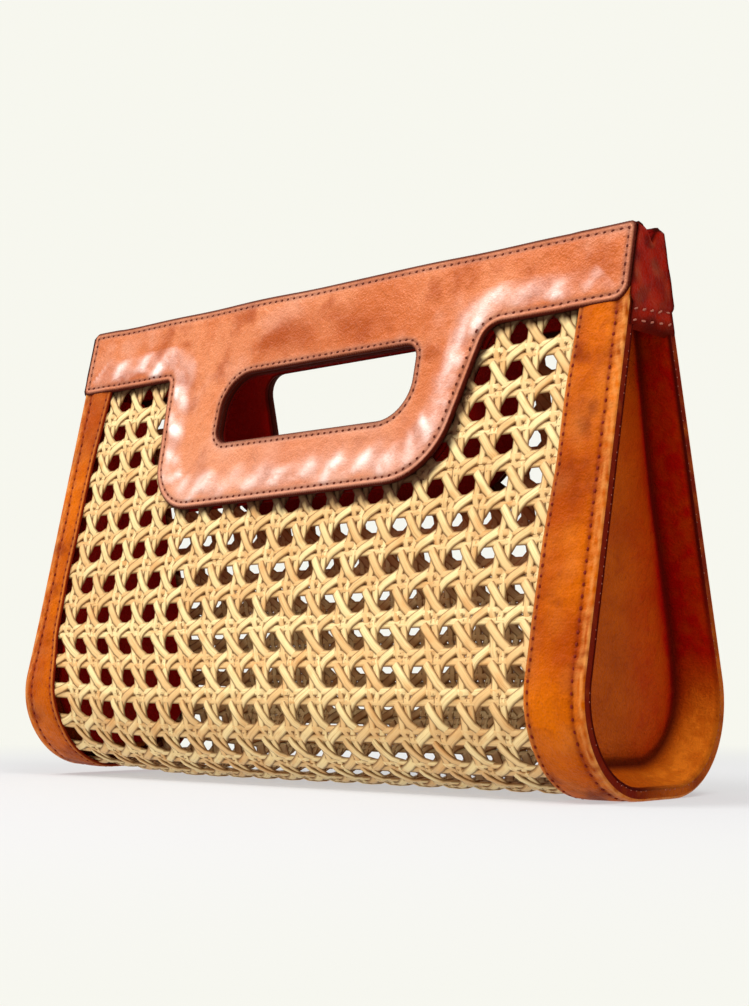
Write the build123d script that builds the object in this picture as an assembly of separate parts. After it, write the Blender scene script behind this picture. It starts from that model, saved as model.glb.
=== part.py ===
from build123d import *
import os
from math import acos, atan2, cos, degrees, hypot, pi, sin

# A stiff handbag of cane webbing and leather, in millimetres. It stands on the floor at z = 0,
# the width runs along X, the front faces -Y. One sheet of webbing goes down the front, round
# the bottom and up the back. A leather yoke with a hand hole caps each side, a border binds
# each end of the sheet, and a tray of leather set in from the end closes each side.

# Overall size
BAG_WIDTH = 270.0
BAG_DEPTH = 81.0
BAG_HEIGHT = 183.0
FLOOR_FLAT = 19.0
MOUTH_GAP = 4.6

# Layers, from the outside in
YOKE_PROUD = 1.0
BORDER_LEATHER = 1.2
CANE_THICKNESS = 2.0
LINING_LEATHER = 1.0

# Borders on the ends of the webbing, cut by hand to different widths
RIGHT_BORDER_WIDTH = 22.0
LEFT_BORDER_WIDTH = 14.5
BORDER_TUCK = 10.0

# Yoke outline: depths are measured down the panel from the top edge
ARM_DEPTH = 27.7
DROP_LEFT_DEPTH = 83.0
DROP_RIGHT_DEPTH = 80.8
DROP_LEFT_TOP = 81.3
DROP_LEFT_FOOT = 77.5
DROP_RIGHT_TOP = 78.8
DROP_RIGHT_FOOT = 62.4
DROP_LEFT_BEND = 21.0
DROP_RIGHT_BEND = 28.0
NOTCH_LEFT_BEND = 1.5
NOTCH_RIGHT_BEND = 8.0
ARM_BEND = 2.5

# Hand hole through both yokes
GRIP_DEPTH = 30.2
HOLE_HEIGHT = 27.2
HOLE_LEFT = 47.5
HOLE_RIGHT = 48.7
HOLE_WIDE_BEND = 14.0
HOLE_TIGHT_BEND = 5.5

# Webbing: how far it runs up under the yoke, its ridges and its gaps
CANE_LAP = 12.0
CANE_WEB = 1.0
GAP_PITCH = 27.0
GAP_ACROSS = 15.5
RIDGE_WIDTH = 6.0

# End trays and the tabs above them
GUSSET_RECESS = 13.5
GUSSET_FOLD = 2.5
TAB_DEPTH = 32.7
TAB_FOLD = 10.0
TAB_LEATHER = 1.2

# Fit
SEAT_CLEARANCE = 0.3
OVERRUN = 5.0

# The side outline: a flat foot, two bends and two straight panels that lean together
half_width = BAG_WIDTH / 2
bend_centre = FLOOR_FLAT / 2
bend_radius = BAG_DEPTH / 2 - bend_centre
cane_depth = BORDER_LEATHER
lining_depth = BORDER_LEATHER + CANE_THICKNESS
inner_depth = lining_depth + LINING_LEATHER

mouth_y = MOUTH_GAP / 2 - bend_centre
mouth_z = BAG_HEIGHT - bend_radius
lean = atan2(mouth_z, mouth_y) - acos((bend_radius - inner_depth) / hypot(mouth_y, mouth_z))

panel_foot_y = bend_centre + bend_radius * cos(lean)
panel_foot_z = bend_radius + bend_radius * sin(lean)
panel_length = (BAG_HEIGHT - panel_foot_z - YOKE_PROUD * sin(lean)) / cos(lean)


def side_half(depth, height):
    """Half the distance between front and back at a height on the straight panels."""
    reach = bend_radius - depth - (height - bend_radius) * sin(lean)
    return bend_centre + reach / cos(lean)


def level(drop, depth):
    """Height of the point that lies drop below the top edge, depth inside the border's face."""
    return panel_foot_z + (panel_length - drop) * cos(lean) - depth * sin(lean)


def block(depth, top, start, end):
    """The bag's side outline moved in by depth, cut level at top, between two places on X."""
    radius = bend_radius - depth
    foot = (bend_centre, depth)
    middle = (lean - pi / 2) / 2
    belly = (bend_centre + radius * cos(middle), bend_radius + radius * sin(middle))
    shoulder = (bend_centre + radius * cos(lean), bend_radius + radius * sin(lean))
    crown = (side_half(depth, top), top)
    right = [ThreePointArc(foot, belly, shoulder), Line(shoulder, crown)]
    left = [edge.mirror(Plane.YZ) for edge in right]
    flat = Line((-bend_centre, depth), foot)
    roof = Line((-crown[0], top), crown)
    outline = make_face(Curve() + [flat, roof] + right + left)
    return Pos(start, 0, 0) * extrude(Plane.YZ * outline, amount=end - start)


def band(outer, inner, top, start, end):
    """A sheet bent round the side outline, from the outer depth to the inner depth."""
    return block(outer, top, start, end) - block(inner, top, start - OVERRUN, end + OVERRUN)


def panel(depth):
    """The plane of the front panel at a depth, with its zero at the top edge."""
    rise = panel_length
    y = -panel_foot_y + rise * sin(lean) + depth * cos(lean)
    z = panel_foot_z + rise * cos(lean) - depth * sin(lean)
    return Plane(origin=(0, y, z), x_dir=(1, 0, 0), z_dir=(0, -cos(lean), sin(lean)))


def rounded(points, bends):
    """A closed outline through the points, each corner rounded by its bend."""
    shape = make_face(Polyline(*points, close=True))
    for point, bend in zip(points, bends):
        if bend > 0:
            corner = shape.vertices().sort_by_distance((point[0], point[1], 0))[0]
            shape = fillet(corner, bend)
    return shape


def yoke_corners(lap, over):
    """Corners of the yoke. lap draws in the lower edge, over carries it past top and ends."""
    end = half_width + over
    arm = ARM_DEPTH - lap
    return [
        (-end, over),
        (end, over),
        (end, -arm),
        (DROP_RIGHT_TOP - lap, -arm),
        (DROP_RIGHT_FOOT - lap, lap - DROP_RIGHT_DEPTH),
        (lap - DROP_LEFT_FOOT, lap - DROP_LEFT_DEPTH),
        (lap - DROP_LEFT_TOP, -arm),
        (-end, -arm),
    ]


def yoke_outline():
    """The yoke seen square on, with its hand-cut corners."""
    right_bends = [ARM_BEND, NOTCH_RIGHT_BEND, DROP_RIGHT_BEND]
    left_bends = [DROP_LEFT_BEND, NOTCH_LEFT_BEND, ARM_BEND]
    return rounded(yoke_corners(0, 0), [0, 0] + right_bends + left_bends)


def core_outline(lap, over):
    """The board inside the yoke, cut with plain corners."""
    return make_face(Polyline(*yoke_corners(lap, over), close=True))


def hand_hole():
    """The hand hole seen square on: two wide and two tight corners, as cut by hand."""
    foot = GRIP_DEPTH + HOLE_HEIGHT
    points = [
        (-HOLE_LEFT, -GRIP_DEPTH),
        (HOLE_RIGHT, -GRIP_DEPTH),
        (HOLE_RIGHT, -foot),
        (-HOLE_LEFT, -foot),
    ]
    return rounded(points, [HOLE_WIDE_BEND, HOLE_TIGHT_BEND, HOLE_WIDE_BEND, HOLE_TIGHT_BEND])


def plate(outline, outer, inner):
    """A flat sheet on the front panel between two depths."""
    return extrude(panel(inner) * outline, amount=inner - outer)


# Borders: a strip over each end of the webbing, turned in over its raw edge
tongue_top = level(ARM_DEPTH - BORDER_TUCK, 0)
edge_turn = band(cane_depth, lining_depth, tongue_top, half_width - BORDER_LEATHER, half_width)


def border(width):
    """A border of this width at the right end."""
    strip = band(0, BORDER_LEATHER, tongue_top, half_width - width, half_width)
    return strip + edge_turn


right_border = border(RIGHT_BORDER_WIDTH)
left_border = mirror(border(LEFT_BORDER_WIDTH), about=Plane.YZ)

# Yokes: outer leather, a stiffener in the webbing's layer and a lining, all with the hand hole
hole = hand_hole()
yoke_face = yoke_outline() - hole
core_face = core_outline(CANE_LAP, 0) - hole
front_yoke = plate(yoke_face, -YOKE_PROUD, cane_depth) - right_border - left_border
front_lining = plate(yoke_face, lining_depth, inner_depth)
front_stiffener = plate(core_face, cane_depth, lining_depth)

# Webbing: a thin web with eight-sided gaps and a level ridge between each two rows of them
cane_end = half_width - BORDER_LEATHER
cane_middle = cane_depth + CANE_THICKNESS / 2
web = band(lining_depth - CANE_WEB, lining_depth, BAG_HEIGHT, -cane_end, cane_end)

middle_radius = bend_radius - cane_middle
bend_run = middle_radius * (pi / 2 + lean)
panel_run = bend_centre + bend_run
sheet_run = panel_run + panel_length - ARM_DEPTH


def on_sheet(run):
    """The sheet's own plane at a run from the middle of the bottom, towards the front."""
    if run <= bend_centre:
        return Plane(origin=(0, -run, cane_middle), x_dir=(1, 0, 0), z_dir=(0, 0, -1))
    if run <= panel_run:
        turn = (run - bend_centre) / middle_radius - pi / 2
        y = -bend_centre - middle_radius * cos(turn)
        z = bend_radius + middle_radius * sin(turn)
        return Plane(origin=(0, y, z), x_dir=(1, 0, 0), z_dir=(0, -cos(turn), sin(turn)))
    return panel(cane_middle) * Pos(0, run - panel_run - panel_length, 0) * Plane.XY


def under_yoke(x, run):
    """True where the drop of the yoke hides a gap."""
    drop = panel_length - (run - panel_run)
    slope = (DROP_RIGHT_TOP - DROP_RIGHT_FOOT) / (DROP_RIGHT_DEPTH - ARM_DEPTH)
    right = DROP_RIGHT_TOP - slope * (drop - ARM_DEPTH)
    return drop < DROP_LEFT_DEPTH and -DROP_LEFT_TOP < x < right


open_width = BAG_WIDTH - LEFT_BORDER_WIDTH - RIGHT_BORDER_WIDTH
open_middle = (LEFT_BORDER_WIDTH - RIGHT_BORDER_WIDTH) / 2
columns = round(open_width / GAP_PITCH)
column_pitch = (open_width - GAP_ACROSS - RIDGE_WIDTH) / (columns - 1)
column_places = [open_middle + (i - (columns - 1) / 2) * column_pitch for i in range(columns)]
rows = int(sheet_run / GAP_PITCH)
row_pitch = (sheet_run - (GAP_ACROSS + RIDGE_WIDTH) / 2) / rows
octagon = RegularPolygon(GAP_ACROSS / 2, 8, major_radius=False, rotation=degrees(pi / 8))
gap_tool = extrude(octagon, amount=CANE_THICKNESS, both=True)

gaps = []
for row in range(rows + 1):
    place = on_sheet(row * row_pitch)
    for x in column_places:
        if not under_yoke(x, row * row_pitch):
            gap = place * Pos(x, 0, 0) * gap_tool
            gaps.append(gap)
            if row > 0:
                gaps.append(mirror(gap, about=Plane.XZ))

ridges = []
sheet_room = block(cane_depth, BAG_HEIGHT, -cane_end, cane_end)
bar_rise = CANE_THICKNESS - CANE_WEB / 2
bar = Pos(0, 0, (CANE_THICKNESS - bar_rise) / 2) * Box(2 * cane_end, RIDGE_WIDTH, bar_rise)
for row in range(rows + 1):
    ridge = on_sheet((row + 1 / 2) * row_pitch) * bar & sheet_room
    ridges.append(ridge)
    ridges.append(mirror(ridge, about=Plane.XZ))

core_room = plate(
    core_outline(CANE_LAP - SEAT_CLEARANCE, OVERRUN),
    cane_depth - SEAT_CLEARANCE,
    lining_depth + SEAT_CLEARANCE,
)
cane_webbing = (web - gaps) + ridges - [core_room, mirror(core_room, about=Plane.XZ)]

# Top tabs: a folded strip that joins the two linings at each end of the mouth
tab_top = level(0, inner_depth)
tab_bottom = level(TAB_DEPTH, inner_depth)
tab_start = half_width - TAB_FOLD
tab_solid = block(inner_depth, tab_top, tab_start, half_width)
tab_room = block(
    inner_depth + TAB_LEATHER, tab_top + OVERRUN, tab_start - OVERRUN, half_width - TAB_LEATHER
)
below_tab = Pos(half_width, 0, tab_bottom / 2) * Box(4 * TAB_FOLD, 2 * BAG_DEPTH, tab_bottom)
right_top_tab = tab_solid - tab_room - below_tab
left_top_tab = mirror(right_top_tab, about=Plane.YZ)

# Gussets: a tray set in from the end, its rim lying inside the webbing and closed under the tab
gusset_leather = LINING_LEATHER
gusset_top = level(ARM_DEPTH, inner_depth) - SEAT_CLEARANCE
tray_floor = half_width - GUSSET_RECESS
tray_back = tray_floor - gusset_leather
tray = block(lining_depth, gusset_top, tray_back, half_width)
tray_room = block(inner_depth, gusset_top - gusset_leather, tray_floor, half_width + OVERRUN)
floor_edges = tray_room.faces().sort_by(Axis.X)[0].edges()
tray_room = chamfer(floor_edges, GUSSET_FOLD)
right_gusset = tray - tray_room - right_top_tab
left_gusset = mirror(right_gusset, about=Plane.YZ)

nodes = {
    "cane_webbing": cane_webbing,
    "right_edge_border": right_border,
    "left_edge_border": left_border,
    "right_gusset": right_gusset,
    "left_gusset": left_gusset,
    "right_top_tab": right_top_tab,
    "left_top_tab": left_top_tab,
    "front_yoke": front_yoke,
    "back_yoke": mirror(front_yoke, about=Plane.XZ),
    "front_yoke_stiffener": front_stiffener,
    "back_yoke_stiffener": mirror(front_stiffener, about=Plane.XZ),
    "front_yoke_lining": front_lining,
    "back_yoke_lining": mirror(front_lining, about=Plane.XZ),
}

os.makedirs("parts", exist_ok=True)
for name, solid in nodes.items():
    export_step(solid, "parts/" + name + ".step")
    print(name, len(solid.solids()), "solid", round(solid.volume, 1), "cubic mm")
print("gaps", len(gaps), "lean", round(degrees(lean), 2))
print("pitch", round(column_pitch, 2), "across,", round(row_pitch, 2), "along the sheet")
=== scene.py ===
# %% [markdown]
# # A handbag of cane webbing and leather
# The bag is one sheet of woven cane that goes down the front, round the bottom and up the back.
# Leather yokes with a hand hole cap it, leather borders bind its ends, and leather trays close the
# sides. The solid model gives every size and place. Here each piece is made again with the strands,
# soft edges, seams and finishes that the eye looks for, in the same frame, in metres.

# %% Load the solid model
import math
import random

import bmesh
import bpy
import numpy as np
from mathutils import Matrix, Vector, geometry


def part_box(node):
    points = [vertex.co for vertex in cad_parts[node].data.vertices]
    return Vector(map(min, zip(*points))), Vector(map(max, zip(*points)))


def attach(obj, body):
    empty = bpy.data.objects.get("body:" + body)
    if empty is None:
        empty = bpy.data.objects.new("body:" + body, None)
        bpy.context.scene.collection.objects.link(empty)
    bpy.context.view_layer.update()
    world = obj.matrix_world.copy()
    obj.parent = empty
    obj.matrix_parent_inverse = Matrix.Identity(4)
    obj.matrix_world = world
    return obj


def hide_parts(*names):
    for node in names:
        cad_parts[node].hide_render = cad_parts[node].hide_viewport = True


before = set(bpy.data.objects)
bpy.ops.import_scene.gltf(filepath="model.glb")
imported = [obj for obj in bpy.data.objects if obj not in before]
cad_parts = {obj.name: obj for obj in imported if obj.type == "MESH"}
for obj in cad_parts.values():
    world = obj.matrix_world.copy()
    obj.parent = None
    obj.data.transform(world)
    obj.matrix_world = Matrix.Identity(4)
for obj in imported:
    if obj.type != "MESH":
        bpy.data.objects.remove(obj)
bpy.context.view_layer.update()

# %% [markdown]
# ## Sizes
# The sizes are those of the solid model, in millimetres, because a bag maker thinks in millimetres.
# What the solids can tell is read from their boxes. Meshes are scaled to metres in one place, when
# they are made.

# %% Sizes of the bag
MM = 0.001
HALF_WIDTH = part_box("front_yoke")[1].x / MM
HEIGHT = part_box("front_yoke")[1].z / MM
RIGHT_BORDER = HALF_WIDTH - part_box("right_edge_border")[0].x / MM
LEFT_BORDER = HALF_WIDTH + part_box("left_edge_border")[1].x / MM
BEND_CENTRE = 9.5
BEND_RADIUS = 31.0
BORDER_LEATHER = 1.2
CANE_THICKNESS = 2.0
LINING_LEATHER = 1.0
YOKE_PROUD = 1.0
MOUTH_HALF = 2.3

CANE_MIDDLE = BORDER_LEATHER + CANE_THICKNESS / 2
LINING_DEPTH = BORDER_LEATHER + CANE_THICKNESS
INNER_DEPTH = LINING_DEPTH + LINING_LEATHER

mouth_y = MOUTH_HALF - BEND_CENTRE
mouth_z = HEIGHT - BEND_RADIUS
LEAN = math.atan2(mouth_z, mouth_y)
LEAN -= math.acos((BEND_RADIUS - INNER_DEPTH) / math.hypot(mouth_y, mouth_z))
panel_foot = BEND_RADIUS + BEND_RADIUS * math.sin(LEAN)
PANEL_LENGTH = (HEIGHT - panel_foot - YOKE_PROUD * math.sin(LEAN)) / math.cos(LEAN)
print("panels lean", round(math.degrees(LEAN), 2), "degrees and are", round(PANEL_LENGTH, 1), "mm long")

# %% [markdown]
# ## Small helpers
# Hand work is never exact, so soft steps, bumps and a seeded relief of a few sine waves are used all
# over to vary edges and heights. They give the same result on each run.


# %% Steps, bumps and ripples
RIPPLE_WAVES = 7


def smooth(value, low, high):
    """0 below low, 1 above high, with a soft step between."""
    t = np.clip((np.asarray(value, float) - low) / (high - low), 0, 1)
    return t * t * (3 - 2 * t)


def hump(distance, half):
    """1 at distance 0, falling away within about twice half."""
    return np.exp(-((np.asarray(distance, float) / half) ** 2))


def ripple(x, y, size, seed):
    """A soft random relief between about -1 and 1, with bumps of about this size."""
    chance = random.Random(seed)
    total = np.zeros(np.broadcast(x, y).shape)
    for _ in range(RIPPLE_WAVES):
        angle = chance.uniform(0, 2 * math.pi)
        pace = 2 * math.pi / (size * chance.uniform(1.3, 3.2))
        ahead = x * math.cos(angle) + y * math.sin(angle)
        total = total + np.sin(pace * ahead + chance.uniform(0, 6.3))
    return total / (RIPPLE_WAVES / 2)


# %% [markdown]
# ## One map for all the sheet pieces
# Webbing, borders and yokes are all sheets bent round one side outline: flat foot, bend, straight
# panel. So one function takes a place on the flat sheet (x across, run from the middle of the bottom,
# rise above the sheet) and gives the point in space. Run is positive up the front. Pieces can then be
# drawn flat, as a pattern cutter does, and bent by the map. The left end of a hand-made bag sits a few
# millimetres off the floor, and the map adds that too.

# %% Bend a flat pattern round the bag
LEFT_LIFT = 3.2
LIFT_START = 60.0
LIFT_RUNS = (35.0, 95.0)


def panel_run(depth):
    """Run at which the straight panel starts, on a sheet at this depth inside the border's face."""
    return BEND_CENTRE + (BEND_RADIUS - depth) * (math.pi / 2 + LEAN)


def top_run(depth):
    """Run at the yoke's top edge."""
    return panel_run(depth) + PANEL_LENGTH


def bent(x, run, rise, depth):
    """Points in space, and the sheet's outward direction there, for places on a flat sheet."""
    x, run, rise = np.broadcast_arrays(*(np.asarray(v, float) for v in (x, run, rise)))
    far = np.abs(run)
    side = np.where(run > 0, -1.0, 1.0)
    radius = BEND_RADIUS - depth
    turn = np.clip((far - BEND_CENTRE) / radius, 0, math.pi / 2 + LEAN) - math.pi / 2
    climb = np.maximum(far - panel_run(depth), 0)
    y = np.minimum(far, BEND_CENTRE) + radius * np.cos(turn) - climb * math.sin(LEAN)
    z = BEND_RADIUS + radius * np.sin(turn) + climb * math.cos(LEAN)
    z = z + LEFT_LIFT * smooth(-x, LIFT_START, HALF_WIDTH) * (1 - smooth(far, *LIFT_RUNS))
    out = np.stack([np.zeros_like(x), side * np.cos(turn), np.sin(turn)], -1)
    return np.stack([x, side * y, z], -1) + out * rise[..., None], out


def new_piece(name, points, faces, material, marks=None):
    """A smooth mesh piece from points in millimetres, with named values on its points."""
    mesh = bpy.data.meshes.new(name)
    mesh.from_pydata((np.asarray(points) * MM).tolist(), [], [[int(v) for v in f] for f in faces])
    for mark, values in (marks or {}).items():
        layer = mesh.attributes.new(mark, "FLOAT", "POINT")
        layer.data.foreach_set("value", np.asarray(values, np.float32).ravel())
    mesh.shade_smooth()
    mesh.materials.append(material)
    piece = bpy.data.objects.new(name, mesh)
    bpy.context.scene.collection.objects.link(piece)
    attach(piece, "root")
    triangles = sum(len(p.vertices) - 2 for p in mesh.polygons)
    print(name, len(mesh.vertices), "points", triangles, "triangles")
    return piece


def face_outward(piece):
    """Turns all faces of a closed piece outward."""
    work = bmesh.new()
    work.from_mesh(piece.data)
    bmesh.ops.recalc_face_normals(work, faces=work.faces)
    work.to_mesh(piece.data)
    work.free()


def grid_faces(rows, columns, closed=False):
    """Four-sided faces of a grid of points, in rows. Closed joins the last column to the first."""
    grid = np.arange(rows * columns).reshape(rows, columns)
    beside = np.roll(grid, -1, axis=1)
    faces = np.stack([grid[:-1], beside[:-1], beside[1:], grid[1:]], -1)
    return (faces if closed else faces[:, :-1]).reshape(-1, 4)


# %% [markdown]
# ## Materials as formulas
# A material is a formula over the surface. One small class wraps a node's output, so that a formula
# is written as Python: each operator adds a Math node. Colours are mixed with Mix nodes.


# %% A value in a material
class Shade:
    """Wraps one output socket of a material's nodes."""

    def __init__(self, tree, socket=None):
        self.tree = tree
        self.socket = socket

    def node(self, kind, settings=None, inputs=None, output=0):
        """Adds a node of this kind, with its settings set first, then its socket values or links."""
        made = self.tree.nodes.new("ShaderNode" + kind)
        for key, value in (settings or {}).items():
            setattr(made, key, value)
        for key, value in (inputs or {}).items():
            if isinstance(value, Shade):
                self.tree.links.new(value.socket, made.inputs[key])
            else:
                made.inputs[key].default_value = value
        return Shade(self.tree, made.outputs[output])

    def maths(self, operation, first, second):
        return self.node("Math", {"operation": operation}, {0: first, 1: second})

    def __add__(self, other):
        return self.maths("ADD", self, other)

    def __sub__(self, other):
        return self.maths("SUBTRACT", self, other)

    def __mul__(self, other):
        return self.maths("MULTIPLY", self, other)

    def __radd__(self, other):
        return self.maths("ADD", other, self)

    def __rsub__(self, other):
        return self.maths("SUBTRACT", other, self)

    def __rmul__(self, other):
        return self.maths("MULTIPLY", other, self)

    def step(self, low, high):
        """A soft step from 0 at low to 1 at high."""
        ends = {"Value": self, "From Min": low, "From Max": high}
        return self.node("MapRange", {"interpolation_type": "SMOOTHSTEP"}, ends)

    def colour(self, nothing, full):
        """A colour between two others, by this value."""
        settings = {"data_type": "RGBA", "clamp_factor": True}
        return self.node("Mix", settings, {0: self, 6: nothing, 7: full}, 2)

    def mark(self, name):
        """A value stored on the mesh's points."""
        return self.node("Attribute", {"attribute_name": name}, output="Fac")

    def place(self):
        return self.node("TexCoord", output="Object")

    def noise(self, where, scale, detail=3.0):
        """Cloudy noise from 0 to 1."""
        return self.node("TexNoise", None, {"Vector": where, "Scale": scale, "Detail": detail})

    def cells(self, where, scale):
        """Distance to the nearest of many scattered points."""
        return self.node("TexVoronoi", None, {"Vector": where, "Scale": scale})

    def vector(self, x, y, z):
        return self.node("CombineXYZ", None, {0: x, 1: y, 2: z})


def tint(code):
    """A screen colour such as e8cfa0 as the linear colour that a shader takes."""
    parts = [int(code[i : i + 2], 16) / 255 for i in (0, 2, 4)]
    return tuple(c / 12.92 if c < 0.04045 else ((c + 0.055) / 1.055) ** 2.4 for c in parts) + (1.0,)


def finish_of(name, settings, formula):
    """A material whose Principled shader has fixed settings, and sockets fed by a formula."""
    material = bpy.data.materials.new(name)
    material.use_nodes = True
    tree = material.node_tree
    shader = tree.nodes["Principled BSDF"]
    for key, value in settings.items():
        shader.inputs[key].default_value = value
    for key, shade in formula(Shade(tree)).items():
        tree.links.new(shade.socket, shader.inputs[key])
    return material


# %% [markdown]
# ## Leather
# Waxed vegetable-tanned leather is a warm tan that wanders between orange and salmon, with a fine
# pebbled grain, creases and darker burnished edges. Clouds of noise at three sizes move the colour and
# cells give the grain. Values on the mesh say where an edge is burnished, which also carries painted
# shade in the trays' creases, at the tabs' lower ends and on the linings' lower parts (edge), where a
# seam's groove gets painted shade (seam), where the colour is rubbed paler by handling, which also
# carries a painted highlight on the yokes and borders and painted dark red shade on the trays, where the
# dye went in deeper, which also carries painted shade between the yoke's lumps, and where a painted
# highlight lies. The sheen is tinted with the leather's own colour, or a white room would wash it out.


# %% Leather material
# Scales of the noises, in waves per metre
CLOUDS = 26.0
RUBBED_PATCHES = 44.0
DYE_PATCHES = 70.0
CREASES = 240.0
PORES = 1100.0
PEBBLES = 1300.0
GRAIN_HEIGHT = 0.0003


def leather(name, tones, gloss, shine, mottle, pale):
    """Leather from six tones: light, middle, dark, burnished edge and shade, rubbed, and painted
    highlight.
    The rubbed tone also paints highlight on the yokes and borders and dark red shade on the trays.

    mottle is the weight of dark patches and pale the weight of rubbed ones.
    """
    light, middle, dark, burnished_and_shade, rub_and_painted_light_tone, highlight_tone = [tint(code) for code in tones]

    def formula(s):
        at = s.place()
        cloud = s.noise(at, CLOUDS, 4.0)
        patch = s.noise(at, DYE_PATCHES, 5.0)
        fine = s.noise(at, PORES, 2.0)
        grain = s.cells(at, PEBBLES)
        crease = s.noise(at, CREASES, 6.0)
        body = cloud.step(0.36, 0.64).colour(middle, light)
        body = (patch.step(0.48, 0.74) * mottle).colour(body, dark)
        body = (s.noise(at, RUBBED_PATCHES, 4.0).step(0.5, 0.7) * pale).colour(body, rub_and_painted_light_tone)
        # Deeper dye, and painted shade in the hollows between the yoke's lumps.
        body = (s.mark("deep_dye_and_shade") * (0.3 + 1.2 * patch)).colour(body, dark)
        body = ((fine - 0.45).step(0.0, 0.4) * 0.35 + crease.step(0.56, 0.74) * 0.3).colour(body, dark)
        # Rubbed paler by handling, with a painted highlight on yokes and borders and painted dark red
        # shade on the trays.
        body = (s.mark("rub_and_painted_light") * (0.1 + patch * 0.7 + crease * 0.7)).colour(body, rub_and_painted_light_tone)
        # Painted highlight.
        painted_highlight = s.mark("painted_highlight") * (0.5 + 0.6 * crease.step(0.3, 0.62))
        body = painted_highlight.colour(body, highlight_tone)
        # Painted shade in seam grooves and in the trays' creases.
        body = (s.mark("seam") * 0.6).colour(body, burnished_and_shade)
        # Burnished edges, and painted shade in the trays' creases, at the tabs' lower ends and on the
        # linings' lower parts.
        body = s.mark("edge").colour(body, burnished_and_shade)
        height = grain * 0.7 + fine * 0.5 + crease.step(0.4, 0.62) * 0.9
        bump = s.node("Bump", None, {"Strength": 0.75, "Distance": GRAIN_HEIGHT, "Height": height})
        rough = gloss + (patch - 0.5) * 0.22 + fine * 0.08 + s.mark("edge") * 0.4
        return {"Base Color": body, "Roughness": rough, "Normal": bump}

    settings = {"Specular IOR Level": shine, "Specular Tint": light}
    return finish_of(name, settings, formula)


# The fourth tone is burnished edge and painted shade, the fifth a rubbed tone that is also a painted
# highlight on yokes and borders and the painted dark red shade of the trays, the sixth a painted
# highlight.
YOKE_TONES = ("d08056", "bc6232", "9a400a", "420d07", "e0a68e", "ffe8e4")
BORDER_TONES = ("ce6603", "a24102", "7c2a02", "6a1608", "d88c48", "e0923c")
GUSSET_TONES = ("b04c06", "9c3e03", "7e2604", "440804", "a00a04", "e47c1c")
TAB_TONES = ("b02606", "921404", "5a0603", "3c0603", "9c2c12", "c05a34")
LINING_TONES = ("a8120a", "920c06", "6c0604", "300402", "8a3a20", "a04030")
BOARD_TONES = ("5e1e10", "521408", "3c0c06", "300804", "6a2a18", "7a3a28")
YOKE_TAN = leather("yoke_tan", YOKE_TONES, 0.36, 0.4, 0.85, 0.38)
BORDER_TAN = leather("border_tan", BORDER_TONES, 0.46, 0.14, 1.0, 0.1)
GUSSET_TAN = leather("gusset_tan", GUSSET_TONES, 0.46, 0.12, 0.3, 0.13)
TAB_MAROON = leather("tab_maroon", TAB_TONES, 0.5, 0.06, 0.8, 0.1)
LINING_RED = leather("lining_red", LINING_TONES, 0.6, 0.15, 0.4, 0.18)
BOARD_BROWN = leather("board_brown", BOARD_TONES, 0.6, 0.15, 0.4, 0.18)
print("leathers:", ", ".join(m.name for m in bpy.data.materials))

# %% [markdown]
# ## Cane
# Cane is the skin of the rattan vine: pale, glossy on its convex side, with fibres along its length.
# Each strand carries its own tone and its own length and width values, so the fibres run along the
# strand wherever it goes, and the strands differ as they do on a real sheet. The inner side is painted
# dark red, as painted shade with the lining's red light in it, less so low down where light gets in.
# Painted shade darkens each strand's sides and where it dips under others, and a painted shadow darkens
# the sheet just below a yoke's lower edge.


# %% Cane material
FIBRE_HEIGHT = 0.0002


def cane_formula(s):
    along = s.mark("along")
    across = s.mark("across")
    tone = s.mark("tone")
    fibre = s.noise(s.vector(along * 0.06, across * 6.0, tone * 90.0), 1.0, 3.0)
    blotch = s.noise(s.vector(along * 0.1, across * 0.4, tone * 40.0), 1.0, 2.0)
    body = tone.step(0.1, 0.9).colour(tint("efd8a0"), tint("dfb880"))
    body = (blotch.step(0.48, 0.78) * 0.75).colour(body, tint("d39a5c"))
    body = (fibre.step(0.5, 0.75) * 0.5).colour(body, tint("b1762f"))
    # Painted shade where a strand dips under others.
    body = (s.mark("sunk_shade") * 0.6).colour(body, tint("8f4d1c"))
    # Painted shade along the sides of each strand.
    flank_shade = across.maths("ABSOLUTE", across, 0.0)
    body = (flank_shade.step(0.42, 0.92) * 0.8).colour(body, tint("6e4218"))
    # Painted shade with the lining's red light on the inner side.
    body = (s.mark("inner") * 0.85).colour(body, tint("8e3a16"))
    # Painted shadow below a yoke's lower edge.
    body = (s.mark("shade") * 0.95).colour(body, tint("2c0806"))
    bump = s.node("Bump", None, {"Strength": 0.45, "Distance": FIBRE_HEIGHT, "Height": fibre})
    rough = 0.38 + blotch * 0.2 + s.mark("shade") * 0.5 + s.mark("inner") * 0.4
    return {"Base Color": body, "Roughness": rough, "Normal": bump}


CANE_SHEEN = {"Specular IOR Level": 0.35, "Specular Tint": tint("f0d8a8")}
CANE = finish_of("natural_cane", CANE_SHEEN, cane_formula)
print("made", CANE.name, "from", len(CANE.node_tree.nodes), "nodes")

# %% [markdown]
# ## Outlines
# The yoke is a flat pattern with rounded corners and a hand hole. Its outline is drawn once from corner
# points and bends, and can be drawn again further in for a row of stitches.

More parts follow.
